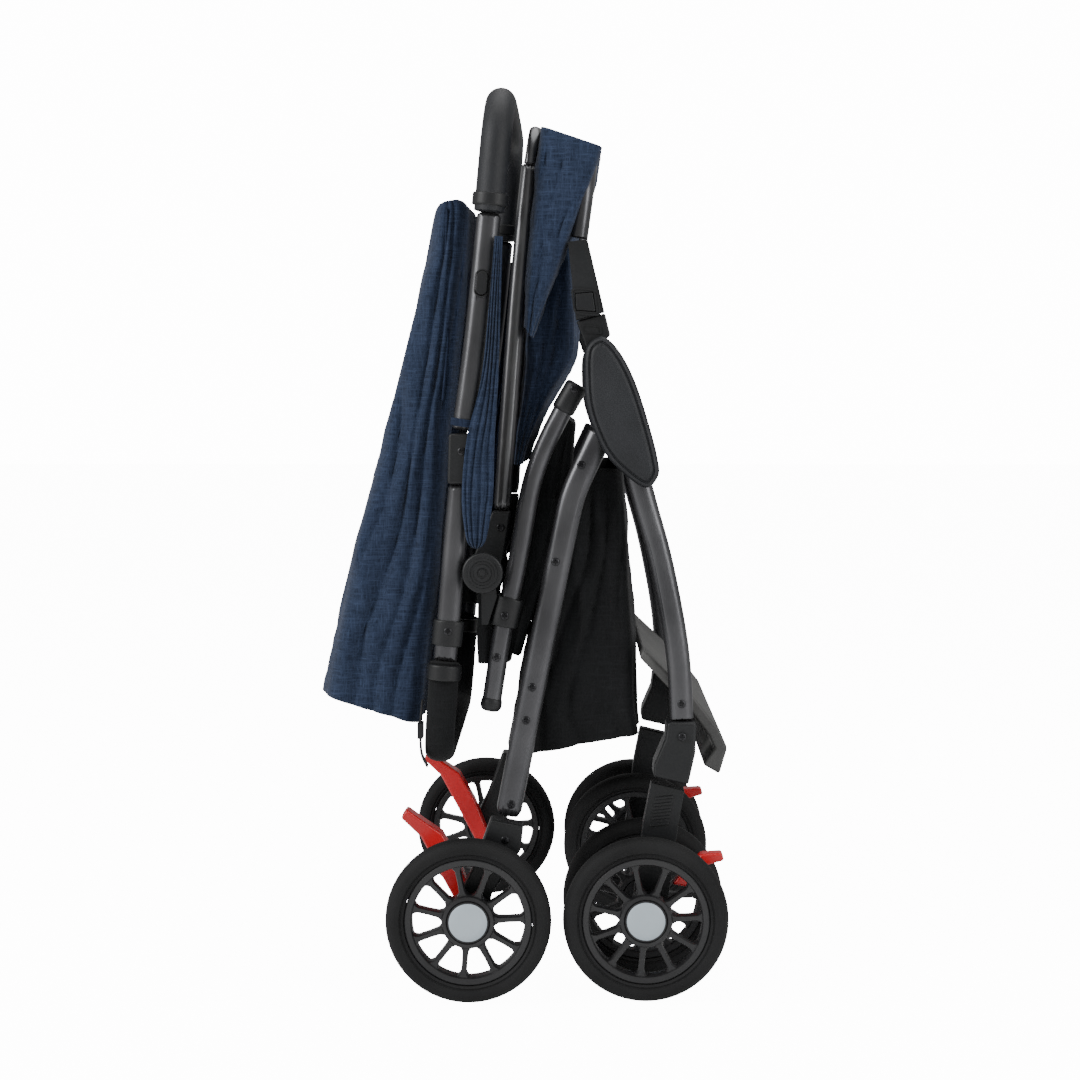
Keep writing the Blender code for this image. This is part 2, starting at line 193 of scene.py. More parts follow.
smoothSettings = {"weld": 1e-5, "flat": math.radians(1), "creaseOver": math.radians(50), "crease": 0.75,
                  "levels": 2}
mouldedSettings = {"weld": 1e-5, "flat": math.radians(2), "segments": 3, "bevelOver": math.radians(28)}


def smoothCopy(node, name, material):
    # a smooth version of a CAD bar, in the same place
    source, settings = frame["nodes"][node], smoothSettings
    bm = bmesh.new()
    bm.from_mesh(source.data)
    bmesh.ops.remove_doubles(bm, verts=bm.verts, dist=settings["weld"])
    bmesh.ops.join_triangles(bm, faces=bm.faces, angle_face_threshold=math.radians(40),
                             angle_shape_threshold=math.radians(60))
    bmesh.ops.dissolve_limit(bm, angle_limit=settings["flat"], verts=bm.verts, edges=bm.edges)
    crease = bm.edges.layers.float.new("crease_edge")
    for edge in bm.edges:
        if len(edge.link_faces) == 2 and edge.calc_face_angle() > settings["creaseOver"]:
            edge[crease] = settings["crease"]
    piece = makePiece(name, bm, material, source["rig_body"], 60)
    subdivide = piece.modifiers.new("rounding", "SUBSURF")
    subdivide.levels = settings["levels"]
    subdivide.render_levels = settings["levels"]
    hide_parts(node)
    return piece


def mouldedCopy(node, name, material, radius):
    # a CAD block with its edges rounded as a moulding has them
    source, settings = frame["nodes"][node], mouldedSettings
    bm = bmesh.new()
    bm.from_mesh(source.data)
    bmesh.ops.remove_doubles(bm, verts=bm.verts, dist=settings["weld"])
    bmesh.ops.dissolve_limit(bm, angle_limit=settings["flat"], verts=bm.verts, edges=bm.edges)
    piece = makePiece(name, bm, material, source["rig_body"], 35)
    bevel = piece.modifiers.new("edges", "BEVEL")
    bevel.width = radius
    bevel.segments = settings["segments"]
    bevel.limit_method = "ANGLE"
    bevel.angle_limit = settings["bevelOver"]
    bevel.harden_normals = True
    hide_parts(node)
    return piece


# materials
def newGroup(name, inputs, outputs):
    group = bpy.data.node_groups.new(name, "ShaderNodeTree")
    for label, value in inputs:
        socket = group.interface.new_socket(label, in_out="INPUT", socket_type="NodeSocketFloat")
        socket.default_value = value
    for label in outputs:
        group.interface.new_socket(label, in_out="OUTPUT", socket_type="NodeSocketFloat")
    return group, group.nodes.new("NodeGroupInput"), group.nodes.new("NodeGroupOutput")


def mathNode(tree, operation, first, second=None, third=None):
    node = tree.nodes.new("ShaderNodeMath")
    node.operation = operation
    for socket, value in zip(node.inputs, (first, second, third)):
        if value is None:
            continue
        if isinstance(value, (int, float)):
            socket.default_value = value
        else:
            tree.links.new(value, socket)
    return node.outputs[0]


def stretchedNoise(tree, coordinate, stretch, scale, detail=3.0):
    mapping = tree.nodes.new("ShaderNodeMapping")
    mapping.inputs["Scale"].default_value = stretch
    tree.links.new(coordinate, mapping.inputs["Vector"])
    texture = tree.nodes.new("ShaderNodeTexNoise")
    texture.inputs["Scale"].default_value = scale
    texture.inputs["Detail"].default_value = detail
    tree.links.new(mapping.outputs["Vector"], texture.inputs["Vector"])
    return texture.outputs["Fac"]


def buildWeave():
    # threads up and across with thick and thin slubs: Tone 0 dark to 1 pale, Height for a bump
    group, _, out = newGroup("slubWeave", (), ("Tone", "Height"))
    place = group.nodes.new("ShaderNodeTexCoord").outputs["Object"]
    threadScale, slubScale, threadShare = 1500, 560, 0.62
    upright = stretchedNoise(group, place, (1, 1, 0.05), threadScale)
    level = stretchedNoise(group, place, (0.05, 0.05, 1), threadScale)
    upSlub = stretchedNoise(group, place, (1, 1, 0.09), slubScale, 1.0)
    levelSlub = stretchedNoise(group, place, (0.09, 0.09, 1), slubScale, 1.0)
    threads = mathNode(group, "MAXIMUM", upright, level)
    slubs = mathNode(group, "MAXIMUM", upSlub, levelSlub)
    mixed = mathNode(group, "ADD", mathNode(group, "MULTIPLY", threads, threadShare),
                     mathNode(group, "MULTIPLY", slubs, 1 - threadShare))
    group.links.new(mixed, out.inputs["Tone"])
    group.links.new(threads, out.inputs["Height"])
    return group


def buildGrain():
    # pebbled grain of leatherette or textured mouldings
    group, given, out = newGroup("pebbleGrain", (("Size", 900.0),), ("Tone", "Height"))
    nodes, links = group.nodes, group.links
    place = nodes.new("ShaderNodeTexCoord").outputs["Object"]
    cells = nodes.new("ShaderNodeTexVoronoi")
    cells.feature = "DISTANCE_TO_EDGE"
    links.new(place, cells.inputs["Vector"])
    links.new(given.outputs["Size"], cells.inputs["Scale"])
    blotch = stretchedNoise(group, place, (1, 1, 1), 14, 4.0)
    links.new(blotch, out.inputs["Tone"])
    links.new(mathNode(group, "MINIMUM", mathNode(group, "MULTIPLY", cells.outputs["Distance"], 5.0), 1.0),
              out.inputs["Height"])
    return group


weaveGroup, grainGroup = buildWeave(), buildGrain()


def surface(name, dark, pale, roughness, effect, bump=0.2, distance=0.0003, low=0.35, high=0.65,
            roughSpread=0.0, **uniform):
    # dark and pale are the ends of the effect's Tone; uniform holds further Principled inputs
    made = bpy.data.materials.new(name)
    made.use_nodes = True
    tree = made.node_tree
    shader = tree.nodes["Principled BSDF"]
    group = tree.nodes.new("ShaderNodeGroup")
    group.node_tree = effect["group"]
    for label, value in effect.get("values", {}).items():
        group.inputs[label].default_value = value
    ramp = tree.nodes.new("ShaderNodeValToRGB")
    ramp.color_ramp.elements[0].position = low
    ramp.color_ramp.elements[0].color = (*dark, 1)
    ramp.color_ramp.elements[1].position = high
    ramp.color_ramp.elements[1].color = (*pale, 1)
    tree.links.new(group.outputs["Tone"], ramp.inputs["Fac"])
    tree.links.new(ramp.outputs["Color"], shader.inputs["Base Color"])
    if roughSpread:
        spread = mathNode(tree, "MULTIPLY_ADD", group.outputs["Tone"], roughSpread,
                          roughness - roughSpread / 2)
        tree.links.new(spread, shader.inputs["Roughness"])
    else:
        shader.inputs["Roughness"].default_value = roughness
    bumpNode = tree.nodes.new("ShaderNodeBump")
    bumpNode.inputs["Strength"].default_value = bump
    bumpNode.inputs["Distance"].default_value = distance
    tree.links.new(group.outputs["Height"], bumpNode.inputs["Height"])
    tree.links.new(bumpNode.outputs["Normal"], shader.inputs["Normal"])
    for label, value in uniform.items():
        shader.inputs[label.replace("_", " ")].default_value = value
    return made


def grain(size):
    return {"group": grainGroup, "values": {"Size": size}}


weave = {"group": weaveGroup}
denim = surface("denimCloth", (0.0090, 0.0145, 0.030), (0.036, 0.053, 0.100), 0.92, weave,
                bump=0.6, distance=0.0006, low=0.44, high=0.74,
                Sheen_Weight=0.08, Sheen_Roughness=0.5, Specular_IOR_Level=0.12)
denimSeam = surface("denimSeam", (0.0065, 0.0105, 0.023), (0.021, 0.031, 0.062), 0.92, weave,
                    bump=0.6, distance=0.0006, low=0.42, high=0.7, Specular_IOR_Level=0.15)
blackCloth = surface("basketCloth", (0.0025, 0.0027, 0.0030), (0.0085, 0.0090, 0.0100), 0.85, weave,
                     bump=0.4, distance=0.0004, low=0.4, high=0.7, Sheen_Weight=0.04, Specular_IOR_Level=0.18)
webbing = surface("webbing", (0.006, 0.006, 0.007), (0.022, 0.022, 0.024), 0.8, weave,
                  bump=0.7, distance=0.0005)
tubePaint = surface("tubePaint", (0.062, 0.062, 0.066), (0.088, 0.088, 0.093), 0.33, grain(2600),
                    bump=0.06, distance=0.0001, roughSpread=0.12, Metallic=0.78)
# a lighter copy of the tube paint for the hoop tube and hoop top: painted highlight, the hoop's bright
# highlights put into its base colour
hoopPaintWithPaintedHighlight = surface("hoopPaintWithPaintedHighlight", (0.105, 0.106, 0.109), (0.140, 0.141, 0.145), 0.30, grain(2600),
                    bump=0.05, distance=0.0001, roughSpread=0.10, Metallic=0.82)
plastic = surface("blackPlastic", (0.0050, 0.0053, 0.0060), (0.0090, 0.0095, 0.0105), 0.46, grain(1700),
                  bump=0.12, distance=0.00015, roughSpread=0.14, Specular_IOR_Level=0.35)
wheelPlastic = surface("wheelPlastic", (0.008, 0.008, 0.009), (0.013, 0.013, 0.014), 0.42, grain(1500),
                       bump=0.08, distance=0.0001, roughSpread=0.12)
leather = surface("leatherette", (0.0070, 0.0078, 0.0095), (0.0140, 0.0150, 0.0180), 0.54, grain(620),
                  bump=0.32, distance=0.0003, roughSpread=0.12, Specular_IOR_Level=0.35)
rubber = surface("tyreRubber", (0.0050, 0.0050, 0.0054), (0.0110, 0.0110, 0.0116), 0.75, grain(900),
                 bump=0.18, distance=0.0002, roughSpread=0.15, Specular_IOR_Level=0.25)
redPlastic = surface("redPlastic", (0.42, 0.006, 0.008), (0.56, 0.012, 0.015), 0.3, grain(1500),
                     bump=0.05, distance=0.0001)
greyPlastic = surface("greyPlastic", (0.042, 0.042, 0.041), (0.060, 0.060, 0.058), 0.6, grain(1300),
                      bump=0.25, distance=0.0002)
capPlastic = surface("hubCap", (0.37, 0.43, 0.47), (0.43, 0.49, 0.53), 0.42, grain(1800),
                     bump=0.05, distance=0.0001)
steel = surface("screwSteel", (0.020, 0.020, 0.022), (0.042, 0.042, 0.045), 0.32, grain(2200),
                bump=0.1, distance=0.0001, Metallic=0.9)
print("materials ready")

# wheels
wheelShape = {"tyre": 0.0829, "rim": 0.0640, "hub": 0.0266, "cap": 0.0194, "half": 0.0112, "spokes": 11,
              "spokeHalf": 0.0027, "firstSpoke": math.radians(265), "tyreTurns": 96, "rimTurns": 88,
              # a spoke's radius, how far its foot flares, and half its depth
              "spoke": ((0.0250, 2.6, 0.0078), (0.0275, 1.7, 0.0076), (0.0305, 1.15, 0.0074),
                        (0.0400, 1.0, 0.0070), (0.0515, 1.05, 0.0074), (0.0545, 1.7, 0.0078),
                        (0.0570, 2.9, 0.0080))}


def tyreMesh(centre, y):
    bm = bmesh.new()
    profile = [(0.0642, -0.0105), (0.0665, -0.0120), (0.0672, -0.0112), (0.0682, -0.0112), (0.0690, -0.0125),
               (0.0730, -0.0130), (0.0765, -0.0122), (0.0795, -0.0102), (0.0815, -0.0074), (0.0826, -0.0040)]
    profile += [(wheelShape["tyre"], 0.0)] + [(r, -w) for r, w in reversed(profile)]
    turnedRing(bm, centre, y, profile, wheelShape["tyreTurns"])
    return bm


def rimMesh(centre, y):
    # a hub, a ring, and tapered spokes whose feet flare into both
    bm = bmesh.new()
    shape = wheelShape
    ring = [(0.0560, -0.0075), (0.0572, -0.0098), (0.0625, -0.0106), (shape["rim"], -0.0092),
            (shape["rim"], 0.0092), (0.0625, 0.0106), (0.0572, 0.0098), (0.0560, 0.0075)]
    hub = [(0.0063, -0.0112), (0.0205, -0.0112), (0.0212, -0.0100), (0.0222, -0.0112), (0.0255, -0.0106),
           (shape["hub"], -0.0085), (shape["hub"], 0.0085), (0.0255, 0.0106), (0.0063, 0.0112)]
    for profile in (ring, hub):
        turnedRing(bm, centre, y, profile, shape["rimTurns"])
    corners = ((-0.72, -1), (0.72, -1), (1, -0.75), (1, 0.75), (0.72, 1), (-0.72, 1), (-1, 0.75),
               (-1, -0.75))
    for spoke in range(shape["spokes"]):
        a = shape["firstSpoke"] + 2 * math.pi * spoke / shape["spokes"]
        out, across = Vector((math.cos(a), 0, math.sin(a))), Vector((-math.sin(a), 0, math.cos(a)))
        rings = []
        for radius, flare, depth in shape["spoke"]:
            half = shape["spokeHalf"] * flare
            middle = at(centre[0], y, centre[1]) + out * radius
            rings.append([middle + across * half * u + Vector((0, depth * v, 0)) for u, v in corners])
        ringsToMesh(bm, rings)
    return bm


def capMesh(centre, y, s):
    bm = bmesh.new()
    face, radius = wheelShape["half"], wheelShape["cap"]
    profile = ((0.0001, 0.0016), (0.0120, 0.0014), (0.0180, 0.0008), (radius, -0.0002), (radius, -0.0030))
    lathe(bm, centre, [(r, y + s * (face + rise)) for r, rise in profile])
    return bm


def wheel(body, label, s):
    low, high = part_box(body + "_tyre")
    centre = (low + high) / 2 - origin
    spot = (centre.x, centre.z)
    tyre = makePiece("tyre" + label, tyreMesh(spot, centre.y), rubber, body)
    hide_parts(body + "_tyre")
    rim = makePiece("rim" + label, rimMesh(spot, centre.y), wheelPlastic, body)
    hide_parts(body + "_rim")
    makePiece("hubCap" + label, capMesh(spot, centre.y, s), capPlastic, body)


for side, s in sides:
    wheel(f"{side}_rear_wheel", side.capitalize() + "Rear", s)
    wheel(f"{side}_front_outer_wheel", side.capitalize() + "FrontOuter", s)
    wheel(f"{side}_front_inner_wheel", side.capitalize() + "FrontInner", -s)
print("wheels ready")

# bars and mouldings that follow the frame
barNodes = {"rear_leg": "rearLeg", "front_leg": "frontLeg", "seat_tube": "seatTube",
            "handle_tube": "handleTube", "seat_rail": "seatRail", "hoop_tube": "hoopTube"}
blockNodes = {"rear_housing": ("rearHousing", 0.0030), "bumper_socket": ("bumperSocket", 0.0020),
              "caster_mount": ("casterMount", 0.0035), "caster_fork": ("casterFork", 0.0025),
              "handle_joint": ("handleJoint", 0.0030), "hoop_arm": ("hoopArm", 0.0025),
              "bumper_plug": ("bumperPlug", 0.0025), "latch_button": ("latchButton", 0.0008),
              "bumper_button": ("bumperButton", 0.0010), "recline_hub": ("reclineHub", 0.0008)}
for side, s in sides:
    for node, label in barNodes.items():
        # the hoop tube takes the lighter copy of the tube paint, a painted highlight
        paint = hoopPaintWithPaintedHighlight if node == "hoop_tube" else tubePaint
        smoothCopy(f"{side}_{node}", label + side.capitalize(), paint)
    for node, (label, radius) in blockNodes.items():
        mouldedCopy(f"{side}_{node}", label + side.capitalize(), plastic, radius)
    mouldedCopy(f"{side}_brake_pedal", "brakePedal" + side.capitalize(), redPlastic, 0.0025)
    mouldedCopy(f"{side}_lock_lever", "lockLever" + side.capitalize(), redPlastic, 0.0025)
smoothCopy("rear_crossbar", "rearCrossbar", tubePaint)
# the hoop top takes the lighter copy of the tube paint, a painted highlight
smoothCopy("hoop_top", "hoopTop", hoopPaintWithPaintedHighlight)
smoothCopy("bumper_bar", "bumperBar", tubePaint)
smoothCopy("handle_grip", "handleGrip", leather)
smoothCopy("lower_bow", "lowerBow", blackCloth)
mouldedCopy("footrest", "footrestSlab", greyPlastic, 0.003)
print("bars and mouldings ready")

# armrest cover: a soft leaf with a piped edge
armrestShape = {"outline": ((0.0284, 0.6626), (0.0156, 0.6518), (0.0136, 0.6251), (0.0172, 0.5895),
                            (0.0316, 0.5529), (0.0495, 0.5310), (0.0744, 0.5141), (0.0873, 0.5261),
                            (0.0862, 0.5440), (0.0792, 0.5717), (0.0667, 0.6113), (0.0542, 0.6390),
                            (0.0403, 0.6577)),
                "inner": 0.1994, "outer": 0.2193}


def armrest(side, s):
    shape = armrestShape
    outline = smoothLine(shape["outline"], 6, True)
    middle = sum(outline, Vector((0, 0))) / len(outline)
    # each ring is (how far in from the edge in metres, distance out from the middle plane)
    outer = shape["outer"]
    steps = ((0.0, shape["inner"]), (0.0, outer - 0.0060), (0.0008, outer - 0.0030), (0.0022, outer - 0.0012),
             (0.0042, outer - 0.0006), (0.0050, outer - 0.0020), (0.0060, outer - 0.0021),
             (0.0068, outer - 0.0007), (0.0100, outer - 0.0001), (0.0180, outer - 0.0003),
             (0.0300, outer - 0.0006))
    rings = []
    for inset, depth in steps:
        ring = []
        for i, p in enumerate(outline):
            along = outline[(i + 1) % len(outline)] - outline[i - 1]
            inward = Vector((-along.y, along.x)).normalized()
            if inward.dot(middle - p) < 0:
                inward = -inward
            reach = min(inset, 0.92 * (middle - p).length)
            spot = p + inward * reach if inset < 0.011 else p.lerp(middle, min(inset / 0.034, 0.9))
            ring.append(at(spot.x, s * depth, spot.y))
        rings.append(ring)
    bm = bmesh.new()
    ringsToMesh(bm, rings)
    cover = makePiece("armrestCover" + side.capitalize(), bm, leather, "rear_frame", 50)
    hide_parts(f"{side}_armrest_cover")


for side, s in sides:
    armrest(side, s)

# screws, sleeves, rings and small trim
screwSpots = {
    "rear_frame": ((0.0110, 0.5360, 0.1990), (-0.0145, 0.4391, 0.1990), (-0.0380, 0.3130, 0.1990),
                   (-0.0440, 0.2795, 0.1990), (-0.0590, 0.1940, 0.1990), (-0.0650, 0.1600, 0.2095)),
    "front_frame": ((0.1120, 0.2963, 0.1990), (0.1125, 0.2640, 0.2050)),
    "seat_frame": ((0.0040, 0.6115, 0.2008), (-0.0652, 0.3850, 0.2012), (-0.0735, 0.3430, 0.1990)),
    "handle": ((-0.1070, 0.5500, 0.2195), (-0.1210, 0.3715, 0.2200)),
    "backrest": ((-0.0700, 0.4720, 0.1765),)}
screwShape = {"radius": 0.0042, "dome": 0.0014, "slotLong": 0.0024, "slotHalf": 0.00055, "slotDeep": 0.0011,
              "rings": 15, "turns": 40}


def screwInto(bm, x, z, y, s, turn):
    shape = screwShape
    rings = []
    for step in range(shape["rings"]):
        r = shape["radius"] * (1 - step / shape["rings"])
        ring = []
        for a in turnsOf(shape["turns"]):
            u, v = r * math.cos(a), r * math.sin(a)
            height = shape["dome"] * math.sqrt(max(0.0, 1 - (r / shape["radius"]) ** 2))
            inSlot = min(abs(u), abs(v)) < shape["slotHalf"] and max(abs(u), abs(v)) < shape["slotLong"]
            height -= shape["slotDeep"] if inSlot else 0
            ring.append(at(x + u * math.cos(turn) - v * math.sin(turn), s * (y + height),
                           z + u * math.sin(turn) + v * math.cos(turn)))
        rings.append(ring)
    ringsToMesh(bm, rings)


for body, spots in screwSpots.items():
    for side, s in sides:
        bm = bmesh.new()
        for i, (x, z, y) in enumerate(spots):
            screwInto(bm, x, z, y, s, 0.5 + 1.1 * i)
        label = "screws" + body.title().replace("_", "") + side.capitalize()
        makePiece(label, bm, steel, body, 30)

# each bar's middle line, its distance from the stroller's middle plane, and its body
routes = {"seatTube": {"line": ((0.0057, 0.6128), (-0.0076, 0.5895), (-0.027, 0.5509), (-0.0399, 0.5121),
                                (-0.0469, 0.4692), (-0.0559, 0.4211), (-0.0679, 0.370), (-0.0794, 0.2935)),
                       "y": 0.190, "body": "seat_frame"},
          "handle": {"line": ((-0.0685, 0.9000), (-0.0797, 0.7835), (-0.0863, 0.7178), (-0.092, 0.6597),
                              (-0.1050, 0.5705)),
                     "y": 0.2095, "body": "handle"},
          "rail": {"line": ((-0.1091, 0.5165), (-0.1199, 0.3869), (-0.1245, 0.3415), (-0.1300, 0.2700)),
                   "y": 0.2095, "body": "handle"}}
# from and to are heights on the route; half is half the sleeve's width and half its depth
sleeves = {
    "seatCap": {"on": "seatTube", "from": 0.590, "to": 0.620, "half": (0.0116, 0.0105), "soften": 0.004},
    "seatSleeve": {"on": "seatTube", "from": 0.371, "to": 0.402, "half": (0.0142, 0.0108), "soften": 0.0015},
    "seatEnd": {"on": "seatTube", "from": 0.285, "to": 0.300, "half": (0.0108, 0.0100), "soften": 0.006},
    "gripRing": {"on": "handle", "from": 0.784, "to": 0.8035, "half": (0.0180, 0.0168), "soften": 0.0015},
    "gripRingLow": {"on": "handle", "from": 0.7790, "to": 0.7845, "half": (0.0150, 0.0125), "soften": 0.001},
    "railSleeve": {"on": "rail", "from": 0.3580, "to": 0.3835, "half": (0.0152, 0.0108), "soften": 0.0015},
    "railRing": {"on": "rail", "from": 0.3235, "to": 0.3406, "half": (0.0172, 0.0164), "soften": 0.0015}}
acrossStroller = Vector((0, 1, 0))


def stretchOf(route, low, high, s, count=9):
    # the part of a route between two heights, as points in the frame
    inside = [p for p in smoothLine(route["line"], 12) if low <= p.y <= high]
    spots = [alongLine(inside, k / (count - 1)) for k in range(count)]
    return [at(spot.x, s * route["y"], spot.y) for spot in spots]


for side, s in sides:
    for label, shape in sleeves.items():
        route = routes[shape["on"]]
        bm = bmesh.new()
        sweepInto(bm, stretchOf(route, shape["from"], shape["to"], s), acrossStroller, *shape["half"], 32,
                  shape["soften"])
        makePiece(label + side.capitalize(), bm, plastic, route["body"], 50)

latchPlateShape = {"middle": (-0.0867, 0.7148), "lean": 0.09, "radius": 0.0058, "straight": 0.0060,
                   # how much wider than the latch, and distance out from the middle plane
                   "rings": ((1.28, 0.2180), (1.28, 0.2190), (1.12, 0.2194), (1.06, 0.2178)), "turns": 40}


def latchPlate(side, s):
    # the sunk oblong frame round the push latch
    shape = latchPlateShape
    cosLean, sinLean = math.cos(shape["lean"]), math.sin(shape["lean"])
    bm = bmesh.new()
    rings = []
    for grow, y in shape["rings"]:
        ring = []
        for a in turnsOf(shape["turns"]):
            u = shape["radius"] * math.cos(a) * grow
            v = shape["radius"] * math.sin(a) + math.copysign(shape["straight"], math.sin(a))
            v = v * (1 + (grow - 1) * 0.6)
            ring.append(at(shape["middle"][0] + u * cosLean + v * sinLean, s * y,
                           shape["middle"][1] + v * cosLean - u * sinLean))
        rings.append(ring)
    ringsToBand(bm, rings)
    makePiece("latchPlate" + side.capitalize(), bm, plastic, "handle", 40)


hubFaceShape = {"middle": (-0.0864, 0.4301), "turns": 56,
                "profile": ((0.0001, 0.2282), (0.0030, 0.2281), (0.0038, 0.2272), (0.0048, 0.2270),
                            (0.0056, 0.2279), (0.0086, 0.2279), (0.0092, 0.2270), (0.0118, 0.2270),
                            (0.0124, 0.2280), (0.0146, 0.2280), (0.0152, 0.2270), (0.0186, 0.2268),
                            (0.0195, 0.2262), (0.0195, 0.2255))}


def hubFace(side, s):
    # the rings and the middle boss pressed into the recline hub's outer face
    shape = hubFaceShape
    bm = bmesh.new()
    lathe(bm, shape["middle"], [(r, s * y) for r, y in shape["profile"]], shape["turns"])
    makePiece("hubFace" + side.capitalize(), bm, plastic, "seat_frame", 30)


# each frame's middle, half sizes, wall, and distance out from the middle plane
trimShape = {"frames": (((0.0155, 0.6971), (0.0122, 0.0118), 0.0016, 0.2046),
                        ((0.0212, 0.6700), (0.0085, 0.0030), 0.0012, 0.2001)),
             "lean": 0.13, "deep": 0.0010, "squareness": 0.35, "turns": 32}


def bumperTrim(side, s):
    # the raised frame round the square button, and the slot in the armrest's neck
    shape = trimShape
    cosLean, sinLean = math.cos(shape["lean"]), math.sin(shape["lean"])
    bm = bmesh.new()
    for centre, half, wall, out in shape["frames"]:
        rings = []
        for grow, y in ((wall, out - shape["deep"]), (wall, out), (0.0, out), (0.0, out - shape["deep"])):
            ring = []
            for k in range(shape["turns"]):
                a = 2 * math.pi * (k + 0.5) / shape["turns"]
                u = math.copysign(abs(math.cos(a)) ** shape["squareness"], math.cos(a)) * (half[0] + grow)
                v = math.copysign(abs(math.sin(a)) ** shape["squareness"], math.sin(a)) * (half[1] + grow)
                ring.append(at(centre[0] + u * cosLean - v * sinLean, s * y,
                               centre[1] + u * -sinLean * 0.6 + v * cosLean))
            rings.append(ring)
        ringsToBand(bm, rings)
    makePiece("bumperTrim" + side.capitalize(), bm, plastic, "bumper", 40)


ventShape = {"ribs": 5, "first": (0.0955, 0.1985), "step": (0.0012, 0.0068), "outFromFork": 0.0099,
             "rise": 0.0014, "half": 0.0019, "slope": 0.12}


def ventRibs(side, s):
    # ribs down the caster fork's outer face
    shape = ventShape
    tyres = [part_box(f"{side}_front_{place}_wheel_tyre") for place in ("outer", "inner")]
    middles = [abs((low + high).y) / 2 for low, high in tyres]
    outer = sum(middles) / 2 + shape["outFromFork"]  # the fork stands midway between its wheels
    bm = bmesh.new()
    for i in range(shape["ribs"]):
        x, z = (start - step * i for start, step in zip(shape["first"], shape["step"]))
        rings = []
        for dx, size in ((-0.0095, 0.55), (-0.0085, 1.0), (0.0085, 1.0), (0.0095, 0.55)):
            rings.append([at(x + dx, s * (outer + shape["rise"] * size * out),
                             z + dx * shape["slope"] + shape["half"] * size * up)
                          for up, out in ((-1, 0), (-0.6, 1), (0.6, 1), (1, 0))])
        ringsToMesh(bm, rings)
    makePiece("forkVent" + side.capitalize(), bm, plastic, f"{side}_caster", 30)


for side, s in sides:
    latchPlate(side, s)
    hubFace(side, s)
    bumperTrim(side, s)
    ventRibs(side, s)
print("trim ready")

# cloth shells: loops from a left edge to a right edge, level by level
def foldField(p, seed, size, upright):
    # long soft folds with creased valleys: slow across, slower along them
    place = Vector((p.x * size, p.y * size, p.z * size * upright))
    stretched = place + Vector((seed, seed * 0.7, seed * 1.3))
    creased = 1 - 3.2 * abs(noise.noise(stretched * 1.9))
    return noise.noise(stretched) + 0.55 * creased + 0.2 * noise.noise(stretched * 5.1)


def tuck(u, t, shape):
    # a gathered panel's long tucks: a rounded ridge and a sharp valley, wandering as they fall
    drift = 0.35 * noise.noise(Vector((u * 1.5, t * 2.6, shape["seed"] + 4)))
    phase = (u + drift) * shape["tucks"]
    ridge = abs(math.sin(math.pi * phase)) ** 0.55
    edges = min(1.0, 9 * u, 9 * (1 - u))
    swell = 0.45 + 0.55 * abs(noise.noise(Vector((u * 3, t * 4.2, shape["seed"] - 7)))) * 2
    return shape["tuckDepth"] * (ridge - 0.6) * edges * swell * min(1.0, 6 * t + 0.2)


clothThickness = 0.0018


def clothShell(name, shape, material, body):
    # a closed loop of cloth: the near and far side panels joined by a panel along each edge
    levels, across, deep = shape["levels"], shape["across"], shape["deep"]
    left, right = smoothLine(shape["left"], 10), smoothLine(shape["right"], 10)
    half, corner = shape["half"], shape["corner"]
    rings = []
    for level in range(levels + 1):
        t = level / levels
        a, b = alongLine(left, t), alongLine(right, t)
        ring = []
        # round the loop: near side panel, left edge panel, far side panel, right edge panel
        outline = [(k / across, -1) for k in range(across, -1, -1)]
        outline += [(0, -1 + 2 * k / deep) for k in range(1, deep)]
        outline += [(k / across, 1) for k in range(across + 1)]
        outline += [(1, 1 - 2 * k / deep) for k in range(1, deep)]
        for u, v in outline:
            spot = a.lerp(b, u)
            width = max((b - a).length, 1e-4)
            radius = min(corner, width * 0.45)
            edge = min(u, 1 - u) * width
            y = half
            if edge < radius:
                y -= radius - math.sqrt(max(0.0, radius**2 - (radius - edge) ** 2))
            pull = 0.0
            if abs(v) == 1:
                y *= v
            else:
                y = v * (half - radius)
                pull = shape["belly"] * (1 - v * v)
            side = -1 if u < 0.5 else 1
            point = Vector((spot.x + side * pull, y, spot.y))
            fold = foldField(point, shape["seed"], shape["foldSize"], shape["upright"])
            fade = min(1.0, 4 * t + 0.15)
            outward = Vector((side, 0, 0)) if u in (0, 1) and abs(v) < 1 else Vector((0, v, 0))
            point += outward * fold * shape["fold"] * fade
            if abs(v) == 1:
                point += outward * tuck(u, t, shape)
            wave = noise.noise(Vector((point.x * 14, point.y * 9, shape["seed"])))
            point.z += shape["hemWave"] * wave * t * t
            ring.append(at(*point))
        rings.append(ring)
    bm = bmesh.new()
    ringsToMesh(bm, rings, shape["capTop"], shape["capBottom"])
    piece = makePiece(name, bm, material, None, 80)
    thick = piece.modifiers.new("cloth", "SOLIDIFY")
    thick.thickness = clothThickness
    thick.offset = -1
    if body:
        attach(piece, body)
    return piece


def bakeModifiers(piece):
    # puts what the modifiers make into the mesh itself
    depsgraph = bpy.context.evaluated_depsgraph_get()
    mesh = bpy.data.meshes.new_from_object(piece.evaluated_get(depsgraph), depsgraph=depsgraph)
    piece.modifiers.clear()
    piece.data = mesh


